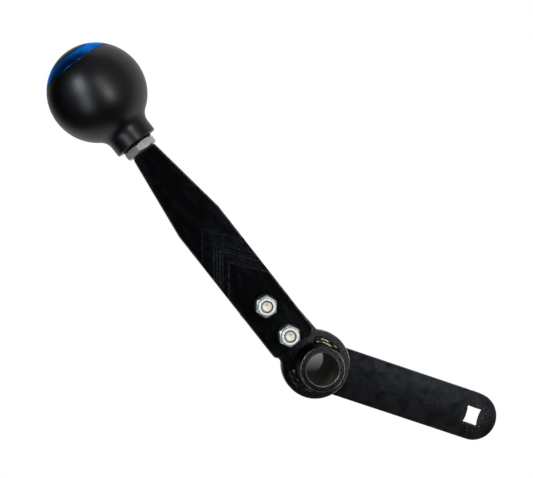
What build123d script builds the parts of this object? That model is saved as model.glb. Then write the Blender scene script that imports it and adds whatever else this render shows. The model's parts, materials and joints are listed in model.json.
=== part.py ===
from build123d import *
import os
from math import cos, radians, sin, sqrt, tan

# Crank handle: a ball knob on a tapered lever blade, bolted to a welded hub that
# has a bored pivot tube and a tail arm ending in a square drive hole.
#
# Frame, in millimetres. The origin is on the pivot bore's axis, in the plane where
# the lever blade seats on the hub plate. +Z runs along the bore towards the nuts,
# +Y runs along the lever blade towards the ball knob.

# ---- running gaps ----
FIT_GAP = 0.05

# ---- hub: tube, plate with its bolting tab, tail arm ----
TUBE_RADIUS = 11.4
BORE_RADIUS = 8.3
TUBE_TOP = 21.0
TUBE_BOTTOM = -27.0
RIM_CHAMFER = 0.35
MOUTH_CHAMFER = 0.45
PLATE_THICKNESS = 6.0
DISC_RADIUS = 18.0
TAB_WIDTH = 25.0
TAB_REACH = 46.5
TAB_TILT = 3.3
TAB_ROOT_FILLET = 2.5
TAB_CORNER = 1.2
EDGE_BREAK = 0.4
ARM_THICKNESS = 6.0
ARM_WIDTH = 25.5
ARM_REACH = 91.7
ARM_ANGLE = -57.2

# ---- square drive hole in the arm's end: flat sides across the arm, bowed sides
# along it, and its corners relieved ----
DRIVE_HALF_ALONG = 4.85
DRIVE_HALF_ACROSS = 4.75
DRIVE_WAIST = 4.35
DRIVE_SAG = 0.25
DRIVE_CORNER_RADIUS = 0.5
DRIVE_RELIEF_RADIUS = 0.8

# ---- lever blade ----
BLADE_WIDTH = 25.0
BLADE_THICKNESS = 12.7
BLADE_OFFSET = -2.5
BLADE_START = 16.0
BLADE_TOP = 141.4
TAPER_LENGTH = 45.0
BLADE_TOP_WIDTH = 13.2
BLADE_END_CHAMFER = 2.4
BLADE_TOP_CHAMFER = 1.0
BLADE_EDGE_CHAMFER = 0.8

# Chevron grooves across the blade's front: (outer apex, inner apex, depth), with the
# apexes given as a distance along +Y.
CHEVRON_HALF_ANGLE = 38.0
CHEVRON_AXIS = -3.3
CHEVRONS = ((93.2, 82.8, 1.3), (81.2, 77.6, 0.8), (76.4, 70.6, 0.9))
CHEVRON_WALL = 0.7

# ---- M6 bolts, washers and self-locking nuts ----
BOLT_STATIONS = {"lower": 23.2, "upper": 42.2}
NUT_TURN = {"lower": 58.5, "upper": 51.5}
BOLT_RADIUS = 3.0
BOLT_LENGTH = 28.0
BOLT_HOLE_RADIUS = 3.3
BOLT_POINT = 0.7
HEX_AF = 10.0
HEAD_HEIGHT = 4.0
WASHER_RADIUS = 6.0
WASHER_THICKNESS = 1.6
NUT_HEIGHT = 6.0
NUT_HEX_HEIGHT = 4.2
NUT_COLLAR_RADIUS = 4.45
NUT_COLLAR_ROUND = 0.5
NUT_LIP_RADIUS = 3.2
NUT_LIP_THICKNESS = 0.35
NYLON_RADIUS = 3.9
NYLON_HEIGHT = 1.4

# ---- M10 knob stud and jam nut ----
STUD_RADIUS = 4.95
STUD_IN_BLADE = 20.0
STUD_IN_KNOB = 19.0
THREAD_HOLE_RADIUS = STUD_RADIUS + FIT_GAP
JAM_NUT_AF = 16.0
JAM_NUT_HEIGHT = 4.5
JAM_NUT_TURN = 9.2

# ---- ball knob; heights are along the knob's axis from the ball's centre ----
BALL_RADIUS = 25.0
NECK_LENGTH = 31.7
NECK_RADIUS = 11.4
NECK_FILLET = 7.0
NECK_END_CHAMFER = 0.4
COLLAR_RADIUS = 8.4
COLLAR_HEIGHT = 0.7
INSERT_RADIUS = 7.5
INSERT_LENGTH = 24.0
INSERT_SCREW_DEPTH = 21.0
RING_BOTTOM = 15.75
RING_TOP = 21.1
RING_BORE = 9.5
RING_GROOVE = 0.35
CAP_SPIGOT_BOTTOM = 11.0

# ---- weld beads, as (node, from angle, to angle) about the bore ----
WELD_LEG = 3.4
WELD_HEIGHT = 2.6
FRONT_WELDS = (("front_weld_upper", -14.0, 54.0), ("front_weld_lower", 150.0, 226.0))
REAR_WELDS = (("rear_weld_arm_side", -112.0, -4.0), ("rear_weld_tab_side", 68.0, 176.0))

# ---- derived heights ----
PLATE_BOTTOM = -PLATE_THICKNESS
ARM_BOTTOM = PLATE_BOTTOM - ARM_THICKNESS
BLADE_MID = BLADE_THICKNESS / 2
JAM_NUT_TOP = BLADE_TOP + JAM_NUT_HEIGHT
NECK_END = JAM_NUT_TOP + COLLAR_HEIGHT
BALL_CENTRE = NECK_END + NECK_LENGTH
NUT_SEAT = BLADE_THICKNESS + WASHER_THICKNESS
HEAD_SEAT = PLATE_BOTTOM - WASHER_THICKNESS


def direction(angle):
    """Unit vector in the XY plane at an angle in degrees from +X."""
    return Vector(cos(radians(angle)), sin(radians(angle)), 0)


def rod(radius, bottom, top):
    """Plain cylinder along Z between two heights."""
    return Pos(0, 0, bottom) * Cylinder(radius, top - bottom, align=(Align.CENTER, Align.CENTER, Align.MIN))


def annulus(outer, inner, bottom, top):
    """Flat ring along Z between two heights."""
    return rod(outer, bottom, top) - rod(inner, bottom - 1, top + 1)


def slab(sketch, bottom, top):
    """Extrude an XY sketch between two heights."""
    return extrude(Pos(0, 0, bottom) * sketch, amount=top - bottom)


def turned(edges, arc=360):
    """Revolve an outline of (radius, height) edges about Z."""
    return revolve(Plane.XZ * make_face(Wire(edges)), Axis.Z, revolution_arc=arc)


def turned_polygon(points, arc=360):
    """Revolve a straight-sided (radius, height) outline about Z."""
    return turned(Polyline(*points, close=True).edges(), arc)


def hexagon(across_flats, height):
    """Hexagonal prism from z = 0 up, with a corner on +X and its corners chamfered at both ends."""
    corner = across_flats / sqrt(3) + 0.05
    face = 0.475 * across_flats
    drop = (corner - face) * tan(radians(30))
    prism = extrude(RegularPolygon(across_flats / 2, 6, major_radius=False), amount=height)
    envelope = turned_polygon(
        [(0, 0), (face, 0), (corner, drop), (corner, height - drop), (face, height), (0, height)]
    )
    return prism & envelope


def along_lever(part, station):
    """Turn a part built along Z to lie along +Y, on the lever's axis, at a distance along it."""
    return Pos(BLADE_OFFSET, station, BLADE_MID) * Rot(-90, 0, 0) * part


def flat_edges(part, height):
    """The edges that lie in the horizontal plane at one height."""
    return part.edges().filter_by_position(Axis.Z, height - 1e-4, height + 1e-4)


# ---- hub ----

def make_hub_tube():
    return turned_polygon(
        [
            (BORE_RADIUS, TUBE_BOTTOM + MOUTH_CHAMFER),
            (BORE_RADIUS + MOUTH_CHAMFER, TUBE_BOTTOM),
            (TUBE_RADIUS - RIM_CHAMFER, TUBE_BOTTOM),
            (TUBE_RADIUS, TUBE_BOTTOM + RIM_CHAMFER),
            (TUBE_RADIUS, TUBE_TOP - RIM_CHAMFER),
            (TUBE_RADIUS - RIM_CHAMFER, TUBE_TOP),
            (BORE_RADIUS + MOUTH_CHAMFER, TUBE_TOP),
            (BORE_RADIUS, TUBE_TOP - MOUTH_CHAMFER),
        ]
    )


def bolt_holes(radius, bottom, top):
    """One cylinder per bolt, to cut the bolt holes."""
    return [Pos(BLADE_OFFSET, station, 0) * rod(radius, bottom, top) for station in BOLT_STATIONS.values()]


def make_hub_plate():
    tab = Rectangle(TAB_WIDTH, TAB_REACH, align=(Align.CENTER, Align.MIN))
    outline = Circle(DISC_RADIUS) + tab
    root_height = sqrt(DISC_RADIUS**2 - (TAB_WIDTH / 2) ** 2)
    roots = outline.vertices().filter_by(lambda point: abs(point.Y - root_height) < 0.01)
    outline = fillet(roots, TAB_ROOT_FILLET)
    tips = outline.vertices().filter_by(lambda point: abs(point.Y - TAB_REACH) < 0.01)
    outline = chamfer(tips, TAB_CORNER)
    plate = slab(Rot(0, 0, TAB_TILT) * outline, PLATE_BOTTOM, 0)
    plate = chamfer(flat_edges(plate, 0), EDGE_BREAK)
    plate -= rod(TUBE_RADIUS + FIT_GAP, PLATE_BOTTOM - 1, 1)
    for hole in bolt_holes(BOLT_HOLE_RADIUS, PLATE_BOTTOM - 1, 1):
        plate -= hole
    return plate


def drive_hole_outline():
    """Square drive hole with relieved corners, with local X along the arm."""
    along, across = DRIVE_HALF_ALONG, DRIVE_HALF_ACROSS
    flat = across - DRIVE_SAG
    sides = [
        ThreePointArc((-along, across), (0, flat), (along, across)),
        ThreePointArc((along, across), (DRIVE_WAIST, 0), (along, -across)),
        ThreePointArc((along, -across), (0, -flat), (-along, -across)),
        ThreePointArc((-along, -across), (-DRIVE_WAIST, 0), (-along, across)),
    ]
    outline = make_face(Wire(sides))
    rounded = fillet(outline.vertices(), DRIVE_CORNER_RADIUS)
    radius = DRIVE_RELIEF_RADIUS
    for corner in GridLocations(2 * (along - radius), 2 * (across - radius), 2, 2):
        rounded += corner * Circle(radius)
    return rounded


def make_tail_arm():
    centre = direction(ARM_ANGLE) * (ARM_REACH / 2)
    outline = Pos(centre) * Rot(0, 0, ARM_ANGLE) * SlotCenterToCenter(ARM_REACH, ARM_WIDTH)
    arm = slab(outline, ARM_BOTTOM, PLATE_BOTTOM)
    rims = flat_edges(arm, ARM_BOTTOM) + flat_edges(arm, PLATE_BOTTOM)
    arm = chamfer(rims, EDGE_BREAK)
    arm -= rod(TUBE_RADIUS + FIT_GAP, ARM_BOTTOM - 1, PLATE_BOTTOM + 1)
    drive = Pos(direction(ARM_ANGLE) * ARM_REACH) * Rot(0, 0, ARM_ANGLE) * drive_hole_outline()
    return arm - slab(drive, ARM_BOTTOM - 1, PLATE_BOTTOM + 1)


def make_weld(start, end, inner, upwards):
    """Fillet bead on a flat face at z = 0, around a round wall of this radius."""
    root = inner + FIT_GAP / 2
    toe = root + WELD_LEG
    side = 1 if upwards else -1
    crown = (root + 0.62 * WELD_LEG, side * 0.62 * WELD_HEIGHT)
    outline = [
        Line((root, 0), (toe, 0)),
        ThreePointArc((toe, 0), crown, (root, side * WELD_HEIGHT)),
        Line((root, side * WELD_HEIGHT), (root, 0)),
    ]
    return Rot(0, 0, start) * turned(outline, end - start)


# ---- lever blade ----

def blade_outline():
    half, top_half = BLADE_WIDTH / 2, BLADE_TOP_WIDTH / 2
    shoulder = BLADE_TOP - TAPER_LENGTH
    right = [
        (half - BLADE_END_CHAMFER, BLADE_START),
        (half, BLADE_START + BLADE_END_CHAMFER),
        (half, shoulder),
        (top_half, BLADE_TOP - BLADE_TOP_CHAMFER),
        (top_half - BLADE_TOP_CHAMFER, BLADE_TOP),
    ]
    left = [(-x, y) for x, y in reversed(right)]
    return Pos(BLADE_OFFSET, 0) * make_face(Polyline(*right, *left, close=True))


def chevron_cutter(outer_apex, inner_apex, depth):
    """V-shaped groove with sloping walls, open at the blade's front face."""
    run = BLADE_WIDTH
    fall = run / tan(radians(CHEVRON_HALF_ANGLE))
    wall = CHEVRON_WALL / sin(radians(CHEVRON_HALF_ANGLE))

    def band(upper, lower, height):
        points = [
            (CHEVRON_AXIS - run, upper - fall),
            (CHEVRON_AXIS, upper),
            (CHEVRON_AXIS + run, upper - fall),
            (CHEVRON_AXIS + run, lower - fall),
            (CHEVRON_AXIS, lower),
            (CHEVRON_AXIS - run, lower - fall),
        ]
        return Pos(0, 0, height) * make_face(Polyline(*points, close=True))

    overshoot = 0.5
    spread = wall * (1 + overshoot / depth)
    floor = band(outer_apex - wall, inner_apex + wall, BLADE_THICKNESS - depth)
    mouth = band(outer_apex - wall + spread, inner_apex + wall - spread, BLADE_THICKNESS + overshoot)
    return loft([floor, mouth], ruled=True)


def make_lever_blade():
    blade = slab(blade_outline(), 0, BLADE_THICKNESS)
    rims = flat_edges(blade, 0) + flat_edges(blade, BLADE_THICKNESS)
    blade = chamfer(rims, BLADE_EDGE_CHAMFER)
    for chevron in CHEVRONS:
        blade -= chevron_cutter(*chevron)
    for hole in bolt_holes(BOLT_HOLE_RADIUS, -1, BLADE_THICKNESS + 1):
        blade -= hole
    tapping = rod(THREAD_HOLE_RADIUS, -STUD_IN_BLADE - 1, 1)
    return blade - along_lever(tapping, BLADE_TOP)


# ---- bolts, washers, self-locking nuts ----

def make_bolt():
    point = HEAD_SEAT + BOLT_LENGTH
    shank = turned_polygon(
        [
            (0, HEAD_SEAT - 1),
            (BOLT_RADIUS, HEAD_SEAT - 1),
            (BOLT_RADIUS, point - BOLT_POINT),
            (BOLT_RADIUS - BOLT_POINT, point),
            (0, point),
        ]
    )
    return shank + Pos(0, 0, HEAD_SEAT - HEAD_HEIGHT) * hexagon(HEX_AF, HEAD_HEIGHT)


def make_nut():
    """Self-locking nut: chamfered hexagon under a round collar that is crimped over the nylon."""
    inset = NUT_COLLAR_ROUND * (1 - sqrt(0.5))
    lip_top = (NUT_COLLAR_RADIUS - NUT_COLLAR_ROUND, NUT_HEIGHT)
    middle = (NUT_COLLAR_RADIUS - inset, NUT_HEIGHT - inset)
    shoulder = (NUT_COLLAR_RADIUS, NUT_HEIGHT - NUT_COLLAR_ROUND)
    collar = turned(
        [
            Line((0, NUT_HEX_HEIGHT - 1), (NUT_COLLAR_RADIUS, NUT_HEX_HEIGHT - 1)),
            Line((NUT_COLLAR_RADIUS, NUT_HEX_HEIGHT - 1), shoulder),
            ThreePointArc(shoulder, middle, lip_top),
            Line(lip_top, (0, NUT_HEIGHT)),
            Line((0, NUT_HEIGHT), (0, NUT_HEX_HEIGHT - 1)),
        ]
    )
    nylon_top = NUT_HEIGHT - NUT_LIP_THICKNESS
    nut = hexagon(HEX_AF, NUT_HEX_HEIGHT) + collar
    nut -= rod(BOLT_RADIUS + FIT_GAP, -1, NUT_HEIGHT + 1)
    nut -= rod(NYLON_RADIUS + FIT_GAP, nylon_top - NYLON_HEIGHT, nylon_top)
    return nut - rod(NUT_LIP_RADIUS, nylon_top, NUT_HEIGHT + 1)


def make_nylon():
    top = NUT_HEIGHT - NUT_LIP_THICKNESS
    return annulus(NYLON_RADIUS, BOLT_RADIUS + FIT_GAP, top - NYLON_HEIGHT, top)


def bolt_set(name):
    """All the pieces of one bolted joint, by node name."""
    place = Pos(BLADE_OFFSET, BOLT_STATIONS[name], 0)
    turn = Rot(0, 0, NUT_TURN[name])
    washer = annulus(WASHER_RADIUS, BOLT_RADIUS + 0.2, 0, WASHER_THICKNESS)
    return {
        name + "_bolt": place * make_bolt(),
        name + "_head_washer": place * Pos(0, 0, HEAD_SEAT) * washer,
        name + "_nut_washer": place * Pos(0, 0, BLADE_THICKNESS) * washer,
        name + "_lock_nut": place * Pos(0, 0, NUT_SEAT) * turn * make_nut(),
        name + "_nylon_ring": place * Pos(0, 0, NUT_SEAT) * make_nylon(),
    }


# ---- knob ----

def sphere_point(height):
    """Point (radius, height) of the ball's outline."""
    return (sqrt(BALL_RADIUS**2 - height**2), height)


def sphere_arc(low, high):
    """Arc of the ball's outline between two heights."""
    return ThreePointArc(sphere_point(low), sphere_point((low + high) / 2), sphere_point(high))


def outline_through(*pieces):
    """Join points and ready edges, in order, into a closed list of edges."""
    edges = []
    start = cursor = None
    for piece in pieces:
        is_point = isinstance(piece, tuple)
        entry = piece if is_point else tuple(piece @ 0)[:2]
        if cursor is not None and Vector(*cursor) != Vector(*entry):
            edges.append(Line(cursor, entry))
        if not is_point:
            edges.append(piece)
        start = start or entry
        cursor = entry if is_point else tuple(piece @ 1)[:2]
    edges.append(Line(cursor, start))
    return edges


def make_knob_ball():
    fillet_r = NECK_RADIUS + NECK_FILLET
    fillet_h = -sqrt((BALL_RADIUS + NECK_FILLET) ** 2 - fillet_r**2)
    share = BALL_RADIUS / (BALL_RADIUS + NECK_FILLET)
    tangent = (share * fillet_r, share * fillet_h)
    chord_r = (tangent[0] + NECK_RADIUS) / 2 - fillet_r
    chord_h = (tangent[1] + fillet_h) / 2 - fillet_h
    stretch = NECK_FILLET / sqrt(chord_r**2 + chord_h**2)
    middle = (fillet_r + stretch * chord_r, fillet_h + stretch * chord_h)
    hole = INSERT_RADIUS + FIT_GAP
    hole_top = INSERT_LENGTH - NECK_LENGTH + 0.3
    socket = RING_BORE + FIT_GAP
    socket_bottom = CAP_SPIGOT_BOTTOM - 0.3
    outline = outline_through(
        (hole, -NECK_LENGTH),
        (NECK_RADIUS - NECK_END_CHAMFER, -NECK_LENGTH),
        (NECK_RADIUS, NECK_END_CHAMFER - NECK_LENGTH),
        ThreePointArc((NECK_RADIUS, fillet_h), middle, tangent),
        sphere_arc(tangent[1], RING_BOTTOM - RING_GROOVE),
        (sphere_point(RING_BOTTOM)[0] - RING_GROOVE, RING_BOTTOM),
        (socket, RING_BOTTOM),
        (socket, socket_bottom),
        (0, socket_bottom),
        (0, hole_top),
        (hole, hole_top),
    )
    return turned(outline)


def make_knob_ring():
    bore = RING_BORE + FIT_GAP
    return turned(outline_through((bore, RING_BOTTOM), sphere_arc(RING_BOTTOM, RING_TOP), (bore, RING_TOP)))


def make_knob_cap():
    rim = RING_TOP + RING_GROOVE
    dome = ThreePointArc(sphere_point(rim), sphere_point((rim + BALL_RADIUS) / 2), (0, BALL_RADIUS))
    return turned(
        outline_through(
            (0, CAP_SPIGOT_BOTTOM),
            (RING_BORE, CAP_SPIGOT_BOTTOM),
            (RING_BORE, RING_TOP),
            (sphere_point(RING_TOP)[0] - RING_GROOVE, RING_TOP),
            dome,
        )
    )


def make_knob_insert():
    """Threaded insert, whose collar stands out of the neck's end and meets the jam nut."""
    collar_end = -NECK_LENGTH - COLLAR_HEIGHT
    return turned_polygon(
        [
            (THREAD_HOLE_RADIUS, collar_end),
            (COLLAR_RADIUS, collar_end),
            (COLLAR_RADIUS, -NECK_LENGTH),
            (INSERT_RADIUS, -NECK_LENGTH),
            (INSERT_RADIUS, INSERT_LENGTH - NECK_LENGTH),
            (0, INSERT_LENGTH - NECK_LENGTH),
            (0, collar_end + INSERT_SCREW_DEPTH),
            (THREAD_HOLE_RADIUS, collar_end + INSERT_SCREW_DEPTH),
        ]
    )


def make_stud():
    top = JAM_NUT_HEIGHT + STUD_IN_KNOB
    chamfer_size = 0.8
    return turned_polygon(
        [
            (0, -STUD_IN_BLADE),
            (STUD_RADIUS - chamfer_size, -STUD_IN_BLADE),
            (STUD_RADIUS, chamfer_size - STUD_IN_BLADE),
            (STUD_RADIUS, top - chamfer_size),
            (STUD_RADIUS - chamfer_size, top),
            (0, top),
        ]
    )


def make_jam_nut():
    nut = hexagon(JAM_NUT_AF, JAM_NUT_HEIGHT) - rod(THREAD_HOLE_RADIUS, -1, JAM_NUT_HEIGHT + 1)
    return Rot(0, 0, 30 - JAM_NUT_TURN) * nut


# ---- assembly ----

def assemble():
    nodes = {
        "hub_tube": make_hub_tube(),
        "hub_plate": make_hub_plate(),
        "tail_arm": make_tail_arm(),
        "lever_blade": make_lever_blade(),
    }
    for name, start, end in FRONT_WELDS:
        nodes[name] = make_weld(start, end, TUBE_RADIUS, True)
    arm_side, tab_side = REAR_WELDS
    nodes[arm_side[0]] = Pos(0, 0, ARM_BOTTOM) * make_weld(*arm_side[1:], TUBE_RADIUS, False)
    nodes[tab_side[0]] = Pos(0, 0, PLATE_BOTTOM) * make_weld(*tab_side[1:], ARM_WIDTH / 2, False)
    for name in BOLT_STATIONS:
        nodes.update(bolt_set(name))
    nodes["knob_stud"] = along_lever(make_stud(), BLADE_TOP)
    nodes["jam_nut"] = along_lever(make_jam_nut(), BLADE_TOP)
    nodes["knob_insert"] = along_lever(make_knob_insert(), BALL_CENTRE)
    nodes["knob_ball"] = along_lever(make_knob_ball(), BALL_CENTRE)
    nodes["knob_ring"] = along_lever(make_knob_ring(), BALL_CENTRE)
    nodes["knob_cap"] = along_lever(make_knob_cap(), BALL_CENTRE)
    return nodes


os.makedirs("parts", exist_ok=True)
for node, part in assemble().items():
    export_step(part, f"parts/{node}.step")
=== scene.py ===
import json
import math
from math import cos, pi, radians, sin, sqrt

import bmesh
import bpy
from mathutils import Matrix, Vector, noise


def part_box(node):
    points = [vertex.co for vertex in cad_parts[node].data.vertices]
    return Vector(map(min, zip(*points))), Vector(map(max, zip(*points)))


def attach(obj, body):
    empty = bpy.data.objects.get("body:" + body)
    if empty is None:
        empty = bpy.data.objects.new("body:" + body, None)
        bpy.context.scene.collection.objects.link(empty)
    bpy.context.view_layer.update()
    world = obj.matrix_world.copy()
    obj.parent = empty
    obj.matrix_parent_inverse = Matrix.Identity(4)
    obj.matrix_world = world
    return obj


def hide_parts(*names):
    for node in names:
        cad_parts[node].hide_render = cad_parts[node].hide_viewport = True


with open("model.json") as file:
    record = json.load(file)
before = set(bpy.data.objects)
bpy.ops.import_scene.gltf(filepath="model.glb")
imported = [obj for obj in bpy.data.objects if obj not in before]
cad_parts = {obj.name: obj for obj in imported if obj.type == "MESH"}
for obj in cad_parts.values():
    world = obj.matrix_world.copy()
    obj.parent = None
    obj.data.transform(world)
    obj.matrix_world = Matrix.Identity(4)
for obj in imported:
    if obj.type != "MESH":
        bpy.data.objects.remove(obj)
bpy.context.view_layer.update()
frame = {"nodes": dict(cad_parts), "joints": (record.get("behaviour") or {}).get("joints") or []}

# Lengths are in metres, and MM turns a size in millimetres into them.
MM = 0.001

# ---- the camera ----
CAMERA_PLACE = Vector((-27.51, 110.23, 539.64)) * MM
CAMERA_TURN = (-0.457, -6.737, -38.142)
CAMERA_LENS = 70.92
SENSOR_WIDTH = 36.0

# ---- sizes of the object, in millimetres ----
# Middle of the square drive hole, and a radius about it that holds the hole's walls.
ARM_REACH = 91.7
ARM_ANGLE = radians(-57.2)
DRIVE_HOLE = (ARM_REACH * cos(ARM_ANGLE), ARM_REACH * sin(ARM_ANGLE), 0.0)
DRIVE_REACH = 7.0
BORE = 8.3
# A radius that holds the chamfer at the bore's mouth too.
BORE_MOUTH = BORE + 0.47
# Top of a lock nut's hexagon above its seat, and the slack in telling a face's height.
NUT_HEX_HEIGHT = 4.2
HEIGHT_SLACK = 0.02
# The lengths of blade that hold the chevron grooves, from the bore, and the depths of their floors.
GROOVES_FROM, GROOVES_TO = 60.0, 125.0
GROOVE_SHALLOWEST, GROOVE_DEEPEST = 0.4, 2.0

# Across the bore, from its dark lower left to its light upper right. Painted light and shade in the bore's
# wall and on the floor seen through it run along it.
BORE_UP = (0.617, 0.787, 0.0)

# ---- places read from the frame, in metres ----
tube_low, tube_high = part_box("hub_tube")
ball_low, ball_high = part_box("knob_ball")
# The knob's joint is placed at the middle of its ball.
ball_centre = next(Vector(joint["pos_m"]) for joint in frame["joints"] if joint["name"] == "knob_turn")
BALL_RADIUS = (ball_high.x - ball_low.x) / 2
TUBE_RADIUS = tube_high.x
nut_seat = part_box("upper_lock_nut")[0].z
plate_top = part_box("hub_plate")[1].z
blade_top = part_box("lever_blade")[1].z
plate_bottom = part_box("hub_plate")[0].z
arm_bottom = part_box("tail_arm")[0].z


# ---------------------------------------------------------------- materials

def add_node(tree, kind, inputs, **settings):
    """Add a node to a tree. Each input is a socket to link, or a value to set."""
    node = tree.nodes.new(kind)
    for key, value in settings.items():
        setattr(node, key, value)
    for key, value in inputs.items():
        if isinstance(value, bpy.types.NodeSocket):
            tree.links.new(value, node.inputs[key])
        else:
            node.inputs[key].default_value = value
    return node


class Finish:
    """A material, and the few calls that wire its nodes. Its places are in millimetres."""

    def __init__(self, name):
        self.material = bpy.data.materials.new(name)
        self.material.use_nodes = True
        self.tree = self.material.node_tree
        self.tree.nodes.clear()
        self.output = self.add("ShaderNodeOutputMaterial", {})
        place = self.add("ShaderNodeTexCoord", {}).outputs["Object"]
        scaled = self.add("ShaderNodeVectorMath", {0: place, "Scale": 1 / MM}, operation="SCALE")
        self.place = scaled.outputs["Vector"]

    def add(self, kind, inputs, **settings):
        return add_node(self.tree, kind, inputs, **settings)

    def noise(self, size, detail=4.0, roughness=0.6, stretch=(1, 1, 1), warp=0.0):
        """Noise with blobs of about this size in millimetres."""
        place = self.add("ShaderNodeMapping", {"Vector": self.place, "Scale": stretch}).outputs[0]
        inputs = {"Vector": place, "Scale": 1 / size, "Detail": detail}
        inputs.update({"Roughness": roughness, "Distortion": warp})
        return self.add("ShaderNodeTexNoise", inputs).outputs["Fac"]

    def vector_math(self, operation, a, b=(0, 0, 0), output="Vector"):
        return self.add("ShaderNodeVectorMath", {0: a, 1: b}, operation=operation).outputs[output]

    def along(self, axis):
        """Distance along an axis in millimetres."""
        return self.vector_math("DOT_PRODUCT", self.place, axis, "Value")

    def away_from(self, place):
        """Distance from a line along Z through this place, in millimetres."""
        offset = self.vector_math("SUBTRACT", self.place, place)
        flat = self.vector_math("MULTIPLY", offset, (1, 1, 0))
        return self.vector_math("LENGTH", flat, output="Value")

    def from_bore(self):
        """Distance from the pivot bore's axis in millimetres."""
        return self.away_from((0, 0, 0))

    def turned_marks(self, pitch):
        """Fine rings about the pivot bore, as a lathe leaves them."""
        place = self.add("ShaderNodeCombineXYZ", {0: self.from_bore()}).outputs[0]
        inputs = {"Vector": place, "Scale": 1 / pitch, "Detail": 2.0}
        return self.add("ShaderNodeTexNoise", inputs).outputs["Fac"]

    def ramp(self, value, low, high, start=0.0, end=1.0):
        """Map low..high onto start..end, clamped."""
        inputs = {"Value": value, "From Min": low, "From Max": high, "To Min": start, "To Max": end}
        return self.add("ShaderNodeMapRange", inputs, clamp=True).outputs[0]

    def math(self, operation, a, b=0.0):
        return self.add("ShaderNodeMath", {0: a, 1: b}, operation=operation).outputs[0]

    def mix(self, share, a, b):
        """Colour a where share is 0, and b where it is 1."""
        return self.add("ShaderNodeMix", {0: share, 6: a, 7: b}, data_type="RGBA").outputs[2]

    def attribute(self, name):
        return self.add("ShaderNodeAttribute", {}, attribute_name=name).outputs["Fac"]

    def bump(self, height, depth, normal=None):
        """Surface relief of this depth in millimetres."""
        inputs = {"Height": height, "Distance": depth * MM, "Strength": 1.0}
        if normal is not None:
            inputs["Normal"] = normal
        return self.add("ShaderNodeBump", inputs).outputs["Normal"]

    def done(self, colour, roughness, metallic=0.0, normal=None, **extra):
        """Finish the material. An extra names a shader socket, with _ for each space."""
        inputs = {"Base Color": colour, "Roughness": roughness, "Metallic": metallic}
        if normal is not None:
            inputs["Normal"] = normal
        inputs.update({key.replace("_", " "): value for key, value in extra.items()})
        shader = self.add("ShaderNodeBsdfPrincipled", inputs)
        self.tree.links.new(shader.outputs["BSDF"], self.output.inputs["Surface"])
        return self.material


def grey(level, tint=(1.0, 1.0, 1.0)):
    """Colour of this brightness, tinted."""
    return (level * tint[0], level * tint[1], level * tint[2], 1.0)


# Tint of the sheen on the blackened metal.
COOL = (0.90, 0.95, 1.15, 1)


def satin_black_knob():
    f = Finish("satin_black_knob")
    cloud = f.noise(14, 3)
    grain = f.noise(0.35, 2)
    colour = f.mix(cloud, grey(0.0005), grey(0.0009, (1, 1, 1.05)))
    rough = f.ramp(cloud, 0.3, 0.7, 0.34, 0.39)
    return f.done(colour, rough, normal=f.bump(grain, 0.006), Specular_Tint=(0.96, 0.98, 1.04, 1))


def blue_anodised_ring():
    f = Finish("blue_anodised_ring")
    turned_lines = f.noise(0.16, 3, stretch=(0.02, 1, 0.02))
    cloud = f.ramp(f.noise(5, 2, 0.5, (1, 0.3, 1)), 0.36, 0.64)
    colour = f.mix(cloud, (0.005, 0.13, 0.55, 1), (0.014, 0.25, 0.86, 1))
    rough = f.ramp(turned_lines, 0.3, 0.7, 0.26, 0.38)
    return f.done(colour, rough, 1.0, f.bump(turned_lines, 0.004), Specular_Tint=(0.45, 0.62, 1.0, 1))


def cap_black():
    f = Finish("cap_black")
    cloud = f.noise(6, 3)
    colour = f.mix(cloud, grey(0.0012, (1.1, 1, 0.9)), grey(0.0025, (1.15, 1, 0.85)))
    rough = f.ramp(cloud, 0.3, 0.7, 0.28, 0.36)
    relief = f.bump(f.noise(0.3, 2), 0.004)
    return f.done(colour, rough, normal=relief, Specular_IOR_Level=0.05, Specular_Tint=(1.0, 0.88, 0.74, 1))


def blade_black():
    f = Finish("blade_black")
    smudge = f.ramp(f.noise(11, 5, 0.65, (1.6, 0.5, 1), 0.6), 0.48, 0.72)
    dust = f.ramp(f.noise(0.7, 3, 0.7), 0.62, 0.76)
    brushed = f.noise(0.35, 3, 0.6, (1.0, 0.04, 1.0))
    base = f.mix(smudge, grey(0.0003, (1, 1, 1.15)), grey(0.0024, (0.85, 1.0, 1.3)))
    colour = f.mix(f.math("MULTIPLY", dust, 0.5), base, grey(0.012, (0.85, 1, 1.2)))
    rough = f.ramp(smudge, 0, 1, 0.22, 0.32)
    relief = f.bump(brushed, 0.003)
    return f.done(colour, rough, normal=relief, Specular_IOR_Level=0.10, Specular_Tint=COOL)


def groove_black():
    """The chevrons' floors, as dark as the blade's face and a little bluer; on the right arm a lighter
    copy, which is painted light.
    """
    f = Finish("groove_black")
    milled = f.noise(0.5, 3, 0.65, (1.0, 0.3, 1.0))
    smudge = f.ramp(f.noise(2.4, 5, 0.7), 0.42, 0.7)
    # Painted light: the floors on the right arm get a lighter copy of the colour.
    lit_right_arm = f.ramp(f.along((1, 0, 0)), -4.0, -1.0)
    left = f.mix(smudge, grey(0.0006, (0.85, 1, 1.35)), grey(0.0045, (0.8, 1.0, 1.35)))
    right = f.mix(smudge, grey(0.0022, (0.85, 1, 1.30)), grey(0.0110, (0.8, 1.0, 1.30)))
    base = f.mix(lit_right_arm, left, right)
    rough = f.ramp(milled, 0.3, 0.7, 0.32, 0.42)
    return f.done(base, rough, normal=f.bump(milled, 0.01), Specular_IOR_Level=0.03, Specular_Tint=COOL)


def groove_wall():
    """The chevrons' sloping sides, lighter than the blade's face and mottled: the lighter tone is a painted
    highlight where they catch the light.
    """
    f = Finish("groove_wall")
    wear_and_highlight = f.ramp(f.noise(1.8, 4, 0.7), 0.38, 0.66)
    # Painted highlight: the sloping sides are coloured lighter than the floors and the face.
    colour = f.mix(wear_and_highlight, grey(0.006, (0.85, 1, 1.3)), grey(0.040, (0.88, 1, 1.18)))
    return f.done(colour, 0.4, 0.3, f.bump(wear_and_highlight, 0.01), Specular_IOR_Level=0.15)


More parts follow.
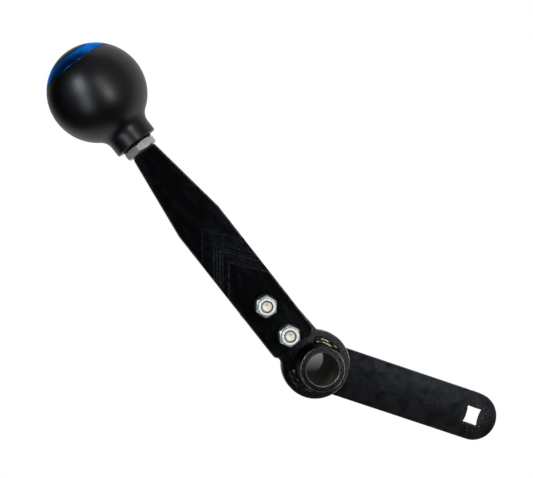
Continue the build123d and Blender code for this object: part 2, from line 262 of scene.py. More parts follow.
def blade_edge():
    """The blade's chamfers, worn bare in places at random, with a painted highlight that makes the bare
    patches grow towards the right.
    """
    f = Finish("blade_edge")
    # Painted highlight: the bare patches grow towards the right, where the chamfers catch the light.
    right_highlight = f.ramp(f.along((1, 0, 0)), -6.0, 5.0, 0.12, 1.0)
    wear_and_highlight = f.math("MULTIPLY", f.ramp(f.noise(2.2, 4, 0.7), 0.38, 0.64), right_highlight)
    colour = f.mix(wear_and_highlight, grey(0.003, (0.95, 1, 1.1)), grey(0.13, (0.92, 1, 1.08)))
    rough = f.ramp(wear_and_highlight, 0, 1, 0.32, 0.42)
    return f.done(colour, rough, f.ramp(wear_and_highlight, 0, 1, 0.2, 0.7), Specular_IOR_Level=0.15)


def arm_black():
    """Smudged black, with painted light along its upper side, and worn round the drive hole."""
    f = Finish("arm_black")
    # Painted light: a lit copy of the paint and its scuffs along the upper side, a shaded copy elsewhere.
    lit_upper_side = f.ramp(f.along((0.84, 0.54, 0)), -6.0, 9.0)
    smudge = f.ramp(f.noise(8, 5, 0.62, (1, 1, 1), 0.9), 0.36, 0.64)
    scuff = f.ramp(f.noise(2.2, 5, 0.72, (1, 1, 1), 1.2), 0.50, 0.68)
    fine = f.noise(1.1, 4, 0.7)
    speck = f.ramp(f.noise(0.45, 2, 0.6), 0.66, 0.74)
    dark = f.mix(smudge, grey(0.0022, (1, 1, 1.05)), grey(0.0115, (0.95, 1.0, 1.1)))
    light = f.mix(smudge, grey(0.0080, (0.95, 1, 1.1)), grey(0.0380, (0.88, 1.0, 1.12)))
    base = f.mix(lit_upper_side, dark, light)
    bare = f.mix(lit_upper_side, grey(0.012), grey(0.028, (0.92, 1.0, 1.1)))
    scuffed = f.mix(f.math("MULTIPLY", scuff, 0.6), base, bare)
    specked = f.mix(f.math("MULTIPLY", speck, 0.55), scuffed, grey(0.05, (0.95, 1, 1.05)))
    near_hole = f.ramp(f.away_from(DRIVE_HOLE), 4.5, 9.5, 1.0, 0.0)
    worn = f.math("MULTIPLY", f.ramp(f.noise(1.5, 4, 0.7), 0.52, 0.62), near_hole)
    colour = f.mix(worn, specked, (0.085, 0.080, 0.074, 1))
    rough = f.ramp(smudge, 0, 1, 0.36, 0.48)
    return f.done(colour, rough, normal=f.bump(fine, 0.015), Specular_IOR_Level=0.03, Specular_Tint=COOL)


def hole_wall():
    """Inside the square drive hole: brown-black scale."""
    f = Finish("hole_wall")
    scale = f.noise(0.9, 4, 0.7)
    colour = f.mix(scale, (0.003, 0.0022, 0.0018, 1), (0.022, 0.015, 0.011, 1))
    return f.done(colour, 0.55, normal=f.bump(scale, 0.05), Specular_IOR_Level=0.08)


def hub_black():
    """Thin black on the hub, with painted light on the arm's side and painted shade in the pocket by the
    blade.
    """
    f = Finish("hub_black")
    # Painted light and shade: lit copies of the paint, rings and specks towards the arm's side, shaded
    # copies towards the pocket by the blade.
    lit_side = f.ramp(f.along((0.97, 0.25, 0)), -9.0, 10.0)
    smudge = f.ramp(f.noise(2.6, 5, 0.75, (1, 1, 1), 0.9), 0.38, 0.64)
    fine = f.ramp(f.noise(0.75, 3, 0.7), 0.48, 0.66)
    rings = f.turned_marks(0.4)
    bands = f.ramp(f.turned_marks(1.5), 0.50, 0.62, 0.0, 0.75)
    dark = f.mix(smudge, grey(0.0010, (1, 0.95, 1.15)), grey(0.008, (0.98, 0.96, 1.2)))
    light = f.mix(smudge, grey(0.009, (0.88, 1, 1.12)), grey(0.036, (0.88, 1.0, 1.1)))
    base = f.mix(lit_side, dark, light)
    ringed = f.mix(f.math("MULTIPLY", bands, smudge), base, f.mix(lit_side, grey(0.010), grey(0.060)))
    speck = f.mix(lit_side, grey(0.022, (0.95, 0.95, 1.1)), grey(0.085, (0.9, 1, 1.1)))
    colour = f.mix(f.math("MULTIPLY", fine, 0.55), ringed, speck)
    rough = f.ramp(smudge, 0, 1, 0.36, 0.48)
    relief = f.bump(rings, 0.012, f.bump(fine, 0.015))
    return f.done(colour, rough, 0.7, relief, Specular_IOR_Level=0.12)


def shaded_wall_black():
    """The tube's outer wall: a darker copy of the hub's paint, which is painted shade, with runs along it.
    """
    f = Finish("shaded_wall_black")
    runs = f.ramp(f.noise(2.2, 4, 0.65, (1, 1, 0.25)), 0.45, 0.7)
    fine = f.noise(0.6, 3, 0.7)
    # Painted shade: the outer wall's black is much darker than the hub's paint.
    colour = f.mix(runs, grey(0.0006, (1, 0.97, 1.12)), grey(0.009, (0.95, 1, 1.1)))
    return f.done(colour, 0.5, normal=f.bump(fine, 0.02), Specular_IOR_Level=0.03)


def bare_edge(name, dark, bright, side, start, end, least=0.15, both=False):
    """Chamfers worn through to the steel in places.

    The bare patches grow from start to end along a side, or along both ways of that side: a painted
    highlight where the chamfers catch the light.
    """
    f = Finish(name)
    # Painted highlight: more bare steel towards the side where the chamfer catches the light.
    reach = f.along(side)
    highlight_amount = f.ramp(f.math("ABSOLUTE", reach) if both else reach, start, end, least, 1.0)
    wear_and_highlight = f.math("MULTIPLY", f.ramp(f.noise(3.0, 5, 0.7), 0.36, 0.56), highlight_amount)
    colour = f.mix(wear_and_highlight, grey(dark), grey(bright, (1, 0.99, 0.96)))
    rough = f.ramp(wear_and_highlight, 0, 1, 0.36, 0.17)
    return f.done(colour, rough, f.ramp(wear_and_highlight, 0, 1, 0.5, 1.0), Specular_IOR_Level=0.15)


def bore_steel():
    """Bare, oil-stained steel inside the tube, with painted light: a lit copy on the wall at the bore's
    lower left, a shaded copy elsewhere.
    """
    f = Finish("bore_steel")
    stain = f.noise(5, 4, 0.65, (1, 1, 0.4), 0.5)
    scored = f.noise(0.4, 3, 0.6, (1, 1, 0.1))
    painted_shade_share = f.ramp(f.along(BORE_UP), -8.3, -2.0, 0.0, 0.95)
    # Painted light and shade: lit and shaded copies of the stained steel, across the bore.
    lit = f.mix(stain, (0.085, 0.071, 0.056, 1), (0.13, 0.11, 0.086, 1))
    dark = f.mix(stain, (0.014, 0.010, 0.008, 1), (0.030, 0.023, 0.018, 1))
    rough = f.ramp(stain, 0.3, 0.7, 0.5, 0.65)
    return f.done(f.mix(painted_shade_share, lit, dark), rough, 0.1, f.bump(scored, 0.01), Specular_IOR_Level=0.15)


def weld_metal():
    """Black weld skin, lighter and gold where the mesh's crest value is high: gold temper-colour streaks,
    with a painted highlight on each pass's crest and painted shade between passes.
    """
    f = Finish("weld_metal")
    tint = f.noise(1.6, 4, 0.65)
    # Painted light and shade: crest is high on each pass's crest and low between passes, so the skin is
    # lighter and gold on the crests.
    crest = f.attribute("crest")
    lit = f.math("MULTIPLY", tint, f.ramp(crest, 0.0, 0.45, 0.0, 1.6))
    dark = f.mix(lit, (0.002, 0.0018, 0.002, 1), (0.060, 0.050, 0.034, 1))
    gold = f.mix(f.noise(0.8, 3), (0.30, 0.25, 0.13, 1), (0.80, 0.74, 0.52, 1))
    share = f.ramp(crest, 0.38, 0.80)
    rough = f.ramp(f.noise(0.5, 3), 0.3, 0.7, 0.30, 0.5)
    metal = f.ramp(share, 0, 1, 0.3, 0.6)
    relief = f.bump(f.noise(0.3, 3), 0.04)
    return f.done(f.mix(share, dark, gold), rough, metal, relief, Specular_IOR_Level=0.2)


def zinc(name, bright, dull, metallic, low, high):
    """Clouded plating or bare steel, between two colours and two roughnesses."""
    f = Finish(name)
    cloud = f.noise(1.6, 4, 0.65)
    streak = f.noise(0.2, 2, 0.6, (1, 1, 0.25))
    colour = f.mix(cloud, bright, dull)
    return f.done(colour, f.ramp(cloud, 0.3, 0.7, low, high), metallic, f.bump(streak, 0.006))


def nylon():
    f = Finish("nylon")
    cloud = f.noise(0.8, 3)
    colour = f.mix(cloud, (0.24, 0.255, 0.25, 1), (0.38, 0.38, 0.355, 1))
    return f.done(colour, 0.45, normal=f.bump(cloud, 0.02), Specular_IOR_Level=0.2)


def plain_black(name, level, roughness):
    f = Finish(name)
    cloud = f.noise(1.4, 4)
    colour = f.mix(cloud, grey(level * 0.7), grey(level * 1.4))
    rough = f.ramp(cloud, 0.3, 0.7, roughness - 0.05, roughness + 0.05)
    return f.done(colour, rough, 0.3, f.bump(f.noise(0.4, 3), 0.01), Specular_IOR_Level=0.15)


# ---------------------------------------------------------------- meshes

# Distances in millimetres within which corners are one: from the CAD, along a thread, after a join.
CAD_MERGE = 0.002
THREAD_MERGE = 0.001
SLIVER = 0.0005
UNION_MERGE = 0.004
# Edges under the first angle are dissolved, and those over the second are rounded.
FLAT_ANGLE = radians(0.3)
SHARP_ANGLE = radians(24)
SHADING_WEIGHT = 90
# How upright a face's normal is if the face slopes.
SLOPE_LEAST, SLOPE_MOST = 0.25, 0.95

# Widths of the rounded edges, in millimetres.
TUBE_ROUND = 0.06
NUT_ROUND = 0.08
PLATE_ROUND = 0.10
STOCK_ROUND = 0.12
CAP_ROUND = 0.15
KNOB_ROUND = 0.20


def cad_mesh(node):
    """The node's mesh with its corners joined and its flat faces whole."""
    shape = bmesh.new()
    shape.from_mesh(frame["nodes"][node].data)
    bmesh.ops.remove_doubles(shape, verts=shape.verts, dist=CAD_MERGE * MM)
    bmesh.ops.dissolve_limit(shape, angle_limit=FLAT_ANGLE, verts=shape.verts, edges=shape.edges)
    return shape


def round_edges(shape, width):
    """Round every sharp edge, so that it catches the light."""
    sharp = [e for e in shape.edges if len(e.link_faces) == 2 and e.calc_face_angle() > SHARP_ANGLE]
    bevel = {"offset": width * MM, "segments": 2, "profile": 0.5, "affect": "EDGES", "material": -1}
    bmesh.ops.bevel(shape, geom=sharp, **bevel)


def finished(name, shape, materials, nodes, body):
    """Make a piece from a mesh, which rides on a body and stands for CAD nodes."""
    mesh = bpy.data.meshes.new(name)
    shape.normal_update()
    shape.to_mesh(mesh)
    shape.free()
    for material in materials:
        mesh.materials.append(material)
    mesh.shade_smooth()
    piece = bpy.data.objects.new(name, mesh)
    bpy.context.scene.collection.objects.link(piece)
    weighted = piece.modifiers.new("even_shading", "WEIGHTED_NORMAL")
    weighted.weight = SHADING_WEIGHT
    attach(piece, body)
    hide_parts(*nodes)
    return piece


def one_finish(face):
    """The same material on every face."""
    return 0


def sloping(face):
    """Second material on the chamfers round a flat part."""
    return 1 if SLOPE_LEAST < abs(face.normal.z) < SLOPE_MOST else 0


def tube_finish(face):
    """Paint on the ends, then the rim's chamfer, the bore's wall, its mouth and the outer wall."""
    inside = face.calc_center_median().xy.length < BORE_MOUTH * MM
    if sloping(face):
        return 3 if inside else 1
    if abs(face.normal.z) > 0.5:
        return 0
    return 2 if inside else 4


def arm_finish(face):
    """Paint, then the chamfers, then the drive hole's wall."""
    middle = face.calc_center_median() / MM
    if (middle.xy - Vector(DRIVE_HOLE).xy).length < DRIVE_REACH and abs(face.normal.z) < 0.9:
        return 2
    return sloping(face)


def blade_finish(face):
    """Paint, then the chamfers, then the chevrons' floors and their sloping sides."""
    middle = face.calc_center_median()
    sunken = blade_top - middle.z
    if face.normal.z > SLOPE_MOST and GROOVE_SHALLOWEST * MM < sunken < GROOVE_DEEPEST * MM:
        return 2
    in_grooves = GROOVES_FROM * MM < middle.y < GROOVES_TO * MM
    if in_grooves and 0.1 < face.normal.z < SLOPE_MOST and abs(face.normal.y) > 0.3:
        return 3
    return sloping(face)


def nut_finish(face):
    """Bright crimped collar, then the hexagon in a darker copy of the zinc, which is painted shade, then
    the collar's side and the nylon's seat in a near-black copy, which is painted shadow.
    """
    above_seat = face.calc_center_median().z - nut_seat
    if above_seat < NUT_HEX_HEIGHT * MM + HEIGHT_SLACK * MM:
        return 1
    return 0 if face.normal.z > 0.55 else 2


def polished(node, width, materials, body, chosen=one_finish):
    """A CAD node's own shape with rounded edges. chosen says which material a face takes."""
    shape = cad_mesh(node)
    round_edges(shape, width)
    shape.normal_update()
    for face in shape.faces:
        face.material_index = chosen(face)
    return finished(node.replace("_", "-"), shape, materials, [node], body)


# Thread profile: place within the pitch, and height from the root (0) to the crest (1).
THREAD_PROFILE = ((0.0, 1.0), (0.125, 1.0), (0.45, 0.0), (0.55, 0.0), (0.875, 1.0))
THREAD_DEPTH_OF_PITCH = 0.61
THREAD_STEPS = 40
# How far below the thread's root a rod's end face is, in millimetres.
END_DROP = 0.2
# Steps inwards and down from a rod's rim to the middle of its cup, in millimetres.
CUP_STEPS = ((0.35, 0.0), (0.35, 0.10), (0.5, 0.14), (0.5, 0.10))


def threaded_rod(radius, pitch, start, end):
    """Rod along Z with a helical thread. Its ends are 45 degree cones from inside the thread's root."""
    depth = THREAD_DEPTH_OF_PITCH * pitch
    tip = radius - depth - END_DROP
    rows = len(THREAD_PROFILE)
    turns = int((end - start) / pitch) + 2
    shape = bmesh.new()

    def vertex(row, step):
        turn, place = divmod(row, rows)
        share, level = THREAD_PROFILE[place]
        raw = start + (turn - 1 + share + step / THREAD_STEPS) * pitch
        z = min(max(raw, start), end)
        near_end = min(z - start, end - z)
        crest = radius - depth * (1 - level)
        r = min(crest, tip + near_end)
        angle = 2 * pi * step / THREAD_STEPS
        return Vector((r * cos(angle), r * sin(angle), z)) * MM

    grid = []
    for row in range((turns + 1) * rows):
        grid.append([shape.verts.new(vertex(row, step)) for step in range(THREAD_STEPS)])
    for row in range(len(grid) - 1):
        for step in range(THREAD_STEPS):
            # The last column joins the first one, a whole turn further up.
            last = step == THREAD_STEPS - 1
            shift = rows if last else 0
            if row + 1 + shift >= len(grid):
                continue
            beside = 0 if last else step + 1
            a, b = grid[row][step], grid[row + 1][step]
            c, d = grid[row + 1 + shift][beside], grid[row + shift][beside]
            shape.faces.new((a, d, c, b))
    bmesh.ops.remove_doubles(shape, verts=shape.verts, dist=THREAD_MERGE * MM)
    bmesh.ops.dissolve_degenerate(shape, dist=SLIVER * MM, edges=shape.edges)
    ends = bmesh.ops.holes_fill(shape, edges=[e for e in shape.edges if e.is_boundary])["faces"]
    bmesh.ops.recalc_face_normals(shape, faces=shape.faces)
    cup_end(shape, max(ends, key=lambda face: face.calc_center_median().z))
    return shape


def cup_end(shape, face):
    """The shallow cup that thread rolling leaves in a rod's end."""
    for thickness, depth in CUP_STEPS:
        bmesh.ops.inset_individual(shape, faces=[face], thickness=thickness * MM, depth=-depth * MM)


def united(first, second):
    """One closed mesh from two that overlap."""
    made = []
    for name, shape in (("first", first), ("second", second)):
        mesh = bpy.data.meshes.new(name)
        shape.to_mesh(mesh)
        shape.free()
        made.append(bpy.data.objects.new(name, mesh))
        bpy.context.scene.collection.objects.link(made[-1])
    join = made[0].modifiers.new("join", "BOOLEAN")
    join.operation = "UNION"
    join.solver = "EXACT"
    join.object = made[1]
    bpy.context.view_layer.update()
    ready = made[0].evaluated_get(bpy.context.evaluated_depsgraph_get())
    result = bmesh.new()
    result.from_mesh(ready.to_mesh())
    bmesh.ops.remove_doubles(result, verts=result.verts, dist=UNION_MERGE * MM)
    bmesh.ops.dissolve_degenerate(result, dist=UNION_MERGE * MM, edges=result.edges)
    for obj in made:
        bpy.data.objects.remove(obj)
    return result


# Sizes of the threads, in millimetres.
BOLT_RADIUS = 3.0
BOLT_PITCH = 1.0
STUD_RADIUS = 4.95
STUD_PITCH = 1.5
# Height above the seating plane where the bolts' thread starts, and how far it runs into the shank.
THREAD_START = 2.0
THREAD_OVERLAP = 0.8


def bolt(node, materials):
    """M6 bolt: the CAD head and plain shank, with a cut thread from THREAD_START to the point."""
    low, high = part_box(node)
    centre = Vector(((low.x + high.x) / 2, (low.y + high.y) / 2, 0))
    head = cad_mesh(node)
    cut = bmesh.ops.bisect_plane(
        head,
        geom=list(head.verts) + list(head.edges) + list(head.faces),
        plane_co=(0, 0, THREAD_START * MM),
        plane_no=(0, 0, 1),
        clear_outer=True,
    )
    bmesh.ops.holes_fill(head, edges=[e for e in cut["geom_cut"] if isinstance(e, bmesh.types.BMEdge)])
    round_edges(head, STOCK_ROUND)
    thread = threaded_rod(BOLT_RADIUS, BOLT_PITCH, THREAD_START - THREAD_OVERLAP, high.z / MM)
    bmesh.ops.translate(thread, verts=thread.verts, vec=centre)
    whole = united(head, thread)
    whole.normal_update()
    for face in whole.faces:
        face.material_index = 1 if face.normal.z < 0.9 and face.calc_center_median().z > 0 else 0
    return finished(node.replace("_", "-"), whole, materials, [node], "lever")


def stud(material):
    """M10 stud along Y, from inside the blade into the knob, threaded all along."""
    low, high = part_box("knob_stud")
    shape = threaded_rod(STUD_RADIUS, STUD_PITCH, 0, (high.y - low.y) / MM)
    place = Vector(((low.x + high.x) / 2, low.y, (low.z + high.z) / 2))
    onto_y = Matrix.Translation(place) @ Matrix.Rotation(-pi / 2, 4, "X")
    bmesh.ops.transform(shape, verts=shape.verts, matrix=onto_y)
    return finished("knob-stud", shape, [material], ["knob_stud"], "lever")


# Sizes of the weld beads, in millimetres. The leg is a bead's width on the plate.
TUBE_WALL = TUBE_RADIUS / MM
WELD_LEG = 3.4
WIDE_LEG = 3.9
ARM_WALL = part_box("rear_weld_tab_side")[1].y / MM - WELD_LEG
WELD_HEIGHT = 2.8
WALL_GAP = 0.02
PASSES = 3
PASS_HEIGHT = 0.55
RIPPLE_PITCH = 1.1
RIPPLE_HEIGHT = 0.22
STREAK_LENGTH = 2.6
WELD_STEP = 0.16
WELD_ROWS = 24
END_ROUND = 1.6
# Shares of a bead's full height: the least at its ends, and where its streaks begin.
END_LEAST = 0.06
STREAKS_FROM = 0.8
# Weld beads: node, from angle, to angle, wall radius, seat height, side, leg, strength of temper colour and
# painted highlight, noise seed.
# Angles are in degrees about the bore. The front beads' seeds were picked for where their streaks fall.
WELDS = (
    ("front_weld_upper", -14, 56, TUBE_WALL, plate_top / MM, 1, WELD_LEG, 0.95, 4.44),
    ("front_weld_lower", 150, 226, TUBE_WALL, plate_top / MM, 1, WIDE_LEG, 0.72, 129.5),
    ("rear_weld_arm_side", -112, -4, TUBE_WALL, arm_bottom / MM, -1, WELD_LEG, 0.9, 9.1),
    ("rear_weld_tab_side", 68, 176, ARM_WALL, plate_bottom / MM, -1, WELD_LEG, 0.9, 13.7),
)


def end_height(travel, length):
    """How far the bead has risen from its rounded ends, from 0 to 1."""
    from_end = min(travel, length - travel)
    if from_end >= END_ROUND:
        return 1.0
    return max(END_LEAST, sqrt(1 - (1 - from_end / END_ROUND) ** 2))


def wander(x, y, z):
    """Smooth noise about zero."""
    return noise.noise(Vector((x, y, z)))


def bead_point(travel, turn, leg, heat_and_highlight, seed):
    """Radial reach, height and brightness of the bead's skin at an angle from the seat to the wall.

    Each pass is a hump across the bead, with ripples along it and streaks of its own. The brightness is a
    painted highlight on each pass's crest and painted shade between passes, times temper-colour streaks,
    plus speckle.
    """
    swell = 1 + 0.08 * wander(travel * 0.5, seed, 0)
    number = int(PASSES * turn / (pi / 2 + 0.001))
    hump = 0.5 - 0.5 * cos(4 * PASSES * turn)
    phase = ((travel + 0.9 * (1 - hump) + 0.7 * wander(travel, turn * 2, seed)) / RIPPLE_PITCH) % 1.0
    ripple = RIPPLE_HEIGHT * hump * (1 - phase)
    rough = 0.16 * wander(travel * 2.0, turn * 4, seed + 3) * sin(2 * turn)
    lift = PASS_HEIGHT * (hump - 0.5) * sin(2 * turn) + ripple + rough
    streak = 0.45 + 1.6 * wander(travel / STREAK_LENGTH, number * 7.0, seed + 9)
    speckle = 0.45 * wander(travel * 1.4, turn * 5, seed + 5)
    # Painted highlight on each pass's crest, painted shade between passes, times temper-colour streaks.
    bright = (hump * streak * (0.35 if number == 0 else 1.0) + speckle) * heat_and_highlight
    reach = leg * swell * cos(turn) * (1 - 0.10 * sin(2 * turn)) + lift * cos(turn)
    height = WELD_HEIGHT * swell * sin(turn) * (1 - 0.10 * sin(2 * turn)) + lift * sin(turn)
    return max(reach, 0.0), max(height, 0.0), bright


def weld_bead(node, start, end, wall, seat, side, leg, heat_and_highlight, seed, material):
    """Fillet bead laid in passes side by side, with ripples, temper-colour streaks, a painted highlight on
    the passes' crests and painted shade between them, and rounded ends.
    """
    shape = bmesh.new()
    crest = shape.verts.layers.float.new("crest")
    root = wall + WALL_GAP
    length = radians(end - start) * (root + leg / 2)
    stations = int(length / WELD_STEP)
    rings = []
    for i in range(stations + 1):
        travel = length * i / stations
        angle = radians(start + (end - start) * i / stations)
        taper = end_height(travel, length)
        outward = Vector((cos(angle), sin(angle), 0))
        ring = []
        for j in range(WELD_ROWS + 1):
            reach, height, bright = bead_point(travel, j / WELD_ROWS * pi / 2, leg, heat_and_highlight, seed)
            place = outward * (root + reach * taper) + Vector((0, 0, seat + side * height * taper))
            vert = shape.verts.new(place * MM)
            vert[crest] = bright if taper > STREAKS_FROM else 0.0
            ring.append(vert)
        ring.append(shape.verts.new((outward * root + Vector((0, 0, seat))) * MM))
        rings.append(ring)
    count = len(rings[0])
    for first, second in zip(rings, rings[1:]):
        for j in range(count):
            k = (j + 1) % count
            shape.faces.new((first[j], first[k], second[k], second[j]))
    for ring in (rings[0], rings[-1]):
        shape.faces.new(ring)
    bmesh.ops.recalc_face_normals(shape, faces=shape.faces)
    return finished(node.replace("_", "-"), shape, [material], [node], "lever")


# ---------------------------------------------------------------- the object

hub_paint = hub_black()
weld_finish = weld_metal()
# On these edges the bare patches grow towards where each chamfer catches the light, which is a painted
# highlight.
rim_edge = bare_edge("rim_edge", 0.012, 0.6, (0.787, -0.617, 0), 4.0, 10.5, 0.10, both=True)
mouth_edge = bare_edge("mouth_edge", 0.04, 0.7, (-1, -0.1, 0), -6.0, 5.0, 0.35)
plate_edge = bare_edge("plate_edge", 0.012, 0.55, (1, 0, 0), -6.0, 12.0)
arm_edge = bare_edge("arm_edge", 0.006, 0.16, (1, 0, 0), 0.0, 40.0)
nut_zinc = zinc("bright_zinc", (0.74, 0.81, 0.81, 1), (0.90, 0.945, 0.93, 1), 0.45, 0.36, 0.5)
# Painted shade: the hexagon's zinc is a darker copy of the collar's, and the collar's side a near-black
# one, for the shadow at the collar's base.
shaded_hex_zinc = zinc("shaded_hex_zinc", (0.38, 0.42, 0.42, 1), (0.66, 0.70, 0.69, 1), 0.7, 0.34, 0.46)
shadow_zinc = zinc("shadow_zinc", (0.06, 0.065, 0.07, 1), (0.16, 0.17, 0.18, 1), 0.7, 0.34, 0.46)
bolt_zinc = zinc("yellow_zinc", (0.58, 0.54, 0.43, 1), (0.98, 0.94, 0.80, 1), 0.4, 0.35, 0.5)
thread_zinc = zinc("dull_zinc", (0.40, 0.41, 0.40, 1), (0.66, 0.66, 0.63, 1), 0.4, 0.4, 0.55)
steel = zinc("satin_stainless", (0.56, 0.54, 0.50, 1), (0.66, 0.635, 0.59, 1), 0.8, 0.32, 0.46)
tube_materials = [hub_paint, rim_edge, bore_steel(), mouth_edge, shaded_wall_black()]
blade_materials = [blade_black(), blade_edge(), groove_black(), groove_wall()]

polished("hub_tube", TUBE_ROUND, tube_materials, "lever", tube_finish)
polished("hub_plate", PLATE_ROUND, [hub_paint, plate_edge], "lever", sloping)
polished("tail_arm", PLATE_ROUND, [arm_black(), arm_edge, hole_wall()], "lever", arm_finish)
polished("lever_blade", STOCK_ROUND, blade_materials, "lever", blade_finish)
for bead in WELDS:
    weld_bead(*bead, weld_finish)
for which in ("upper", "lower"):
    washer_black = plain_black(which + "_black_oxide", 0.012, 0.4)
    nut_materials = [nut_zinc, shaded_hex_zinc, shadow_zinc]
    bolt(which + "_bolt", [bolt_zinc, thread_zinc])
    polished(which + "_head_washer", STOCK_ROUND, [nut_zinc], "lever")
    polished(which + "_nut_washer", STOCK_ROUND, [washer_black], "lever")
    polished(which + "_lock_nut", NUT_ROUND, nut_materials, "lever", nut_finish)
    polished(which + "_nylon_ring", PLATE_ROUND, [nylon()], "lever")
stud(steel)
polished("jam_nut", STOCK_ROUND, [steel], "jam_nut")
polished("knob_insert", STOCK_ROUND, [plain_black("insert_black", 0.002, 0.4)], "knob")
polished("knob_ball", KNOB_ROUND, [satin_black_knob()], "knob")
polished("knob_ring", KNOB_ROUND, [blue_anodised_ring()], "knob")
polished("knob_cap", CAP_ROUND, [cap_black()], "knob")


# ---------------------------------------------------------------- camera, floor, light

FLOOR_SIZE = 6.0
FLOOR_GAP = 0.02 * MM
# The floor's light on the object, and how far left of the ball it has faded out, in millimetres.
FLOOR_GLOW = 0.7
GLOW_FADE = 45
BORE_GLOW = 0.10
# The floor seen through the bore: brightness from dark to light, between two places along BORE_UP.
BORE_DARK, BORE_LIGHT = 0.0, 0.22
BORE_DARK_AT, BORE_LIGHT_AT = -9.0, 3.0
BORE_CURVE = 1.3
BORE_TINT = (1.0, 0.94, 0.87, 1)
# The tube's footprint ends between this distance from the bore's axis and the tube's radius.
FOOTPRINT = 9.2
WHITE = (1, 1, 1, 1)

# Sky: tint, dim and bright strength, and how far a direction leans to the upper right at each.
SKY_TINT = (0.95, 0.97, 1, 1)
SKY_DIM, SKY_GLOW = 0.02, 0.26
SKY_DIM_AT, SKY_GLOW_AT = 0.1, 0.7

# Softboxes: name, first and last spot that they light on the ball, width in metres, power in watts, tint.
LIGHT_DISTANCE = 1.2
SOFTBOXES = (
    ("left_softbox", (-0.39, 0.28), (-0.27, 0.02), 0.34, 6.4, (0.93, 0.97, 1.0)),
    ("left_low_softbox", (-0.26, 0.01), (-0.16, -0.32), 0.34, 3.0, (0.90, 0.95, 1.0)),
    ("right_softbox", (0.29, -0.10), (0.13, 0.13), 0.08, 4.0, (1.0, 0.98, 0.96)),
    ("right_high_softbox", (0.13, 0.15), (0.0, 0.30), 0.10, 1.5, (1.0, 0.98, 0.96)),
)


def camera():
    data = bpy.data.cameras.new("camera")
    data.lens = CAMERA_LENS
    data.sensor_width = SENSOR_WIDTH
    obj = bpy.data.objects.new("camera", data)
    obj.location = CAMERA_PLACE
    obj.rotation_euler = [radians(angle) for angle in CAMERA_TURN]
    bpy.context.scene.collection.objects.link(obj)
    bpy.context.scene.camera = obj
    bpy.context.view_layer.update()
    return obj


view = camera()


def view_right():
    """The right of the camera as it is set above, which the floor and the lights are laid out by."""
    return view.matrix_world.to_3x3() @ Vector((1, 0, 0))


def floor_finish():
    """White to the camera, and dim inside the tube's footprint, where little light comes in.

    The light that it throws back on the object fades out on the ball's left side.
    From below it is clear, so that the object's underside can be seen.
    """
    f = Finish("floor_white")
    inside = f.math("POWER", f.ramp(f.along(BORE_UP), BORE_DARK_AT, BORE_LIGHT_AT), BORE_CURVE)
    inside = f.ramp(inside, 0, 1, BORE_DARK, BORE_LIGHT)
    outside = f.ramp(f.from_bore(), FOOTPRINT, TUBE_RADIUS / MM)
    tint = f.mix(outside, BORE_TINT, WHITE)
    glow = f.add("ShaderNodeEmission", {"Color": tint, "Strength": f.ramp(outside, 0, 1, inside, 1.0)})
    left = -view_right().normalized()
    edge_at = (ball_centre.dot(left) + BALL_RADIUS) / MM
    fade = f.ramp(f.along(left), edge_at, edge_at + GLOW_FADE, FLOOR_GLOW, 0.0)
    fade = f.math("ADD", f.math("MULTIPLY", fade, outside), f.ramp(outside, 0, 1, BORE_GLOW, 0.0))
    back_light = f.add("ShaderNodeEmission", {"Color": WHITE, "Strength": fade})
    seen = f.add("ShaderNodeLightPath", {}).outputs["Is Camera Ray"]
    chosen = f.add("ShaderNodeMixShader", {0: seen, 1: back_light.outputs[0], 2: glow.outputs[0]})
    below = f.add("ShaderNodeNewGeometry", {}).outputs["Backfacing"]
    clear = f.add("ShaderNodeBsdfTransparent", {})
    sided = f.add("ShaderNodeMixShader", {0: below, 1: chosen.outputs[0], 2: clear.outputs[0]})
    f.tree.links.new(sided.outputs[0], f.output.inputs["Surface"])
    return f.material


def floor():
    """A plane that rests under the tube's rear rim and touches the ball."""
    contact = Vector((TUBE_RADIUS, tube_low.z - FLOOR_GAP))
    to_ball = Vector((ball_centre.y, ball_centre.z)) - contact
    slope = math.atan2(to_ball.y, to_ball.x) - math.asin((BALL_RADIUS + FLOOR_GAP) / to_ball.length)
    mesh = bpy.data.meshes.new("floor")
    half = FLOOR_SIZE / 2
    corners = [(-half, -half, 0), (half, -half, 0), (half, half, 0), (-half, half, 0)]
    mesh.from_pydata(corners, [], [(0, 1, 2, 3)])
    mesh.materials.append(floor_finish())
    plane = bpy.data.objects.new("floor", mesh)
    bpy.context.scene.collection.objects.link(plane)
    plane.rotation_euler = (slope, 0, 0)
    plane.location = (0, 0, contact.y - contact.x * math.tan(slope))


def ball_axes():
    """Right, up and back as the camera sees them at the ball."""
    back = (view.location - ball_centre).normalized()
    right = view_right()
    right = (right - back * right.dot(back)).normalized()
    return right, back.cross(right), back


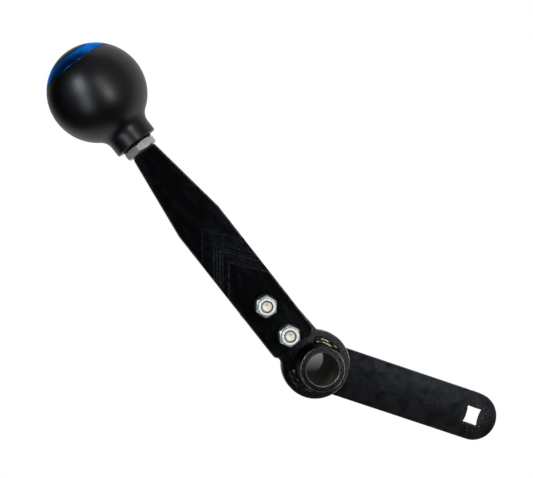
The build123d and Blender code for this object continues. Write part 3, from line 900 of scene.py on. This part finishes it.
def mirrored(right, up):
    """Direction of the light that shows at this spot of the ball, given in ball radii from its middle."""
    facing = sqrt(1 - right**2 - up**2)
    across, rise, back = ball_axes()
    return across * (2 * facing * right) + rise * (2 * facing * up) + back * (2 * facing**2 - 1)


def softbox(name, start, end, width, power, tint):
    """Area light whose reflection runs from one spot of the ball to another."""
    first, last = mirrored(*start), mirrored(*end)
    back = (first + last).normalized()
    along = (last - first).normalized()
    data = bpy.data.lights.new(name, "AREA")
    data.shape = "RECTANGLE"
    data.size, data.size_y = width, LIGHT_DISTANCE * (last - first).length
    data.energy = power
    data.color = tint
    lamp = bpy.data.objects.new(name, data)
    basis = Matrix((along.cross(back), along, back)).transposed().to_4x4()
    lamp.matrix_world = Matrix.Translation(ball_centre + back * LIGHT_DISTANCE) @ basis
    bpy.context.scene.collection.objects.link(lamp)


def sky():
    """Dim soft light from the upper right, behind a backdrop that is white to the camera."""
    world = bpy.data.worlds.new("studio")
    bpy.context.scene.world = world
    world.use_nodes = True
    tree = world.node_tree
    tree.nodes.clear()
    right, up, _ = ball_axes()
    ray = add_node(tree, "ShaderNodeTexCoord", {}).outputs["Generated"]
    inputs = {0: ray, 1: (right + up).normalized()}
    slant = add_node(tree, "ShaderNodeVectorMath", inputs, operation="DOT_PRODUCT").outputs["Value"]
    inputs = {"Value": slant, "From Min": SKY_DIM_AT, "From Max": SKY_GLOW_AT}
    inputs.update({"To Min": SKY_DIM, "To Max": SKY_GLOW})
    strength = add_node(tree, "ShaderNodeMapRange", inputs, clamp=True).outputs[0]
    soft = add_node(tree, "ShaderNodeBackground", {"Color": SKY_TINT, "Strength": strength}).outputs[0]
    backdrop = add_node(tree, "ShaderNodeBackground", {"Color": WHITE}).outputs[0]
    seen = add_node(tree, "ShaderNodeLightPath", {}).outputs["Is Camera Ray"]
    chosen = add_node(tree, "ShaderNodeMixShader", {0: seen, 1: soft, 2: backdrop}).outputs[0]
    add_node(tree, "ShaderNodeOutputWorld", {"Surface": chosen})


floor()
sky()
for box in SOFTBOXES:
    softbox(*box)
bpy.context.scene.view_settings.view_transform = "Standard"
bpy.context.scene.view_settings.look = "None"
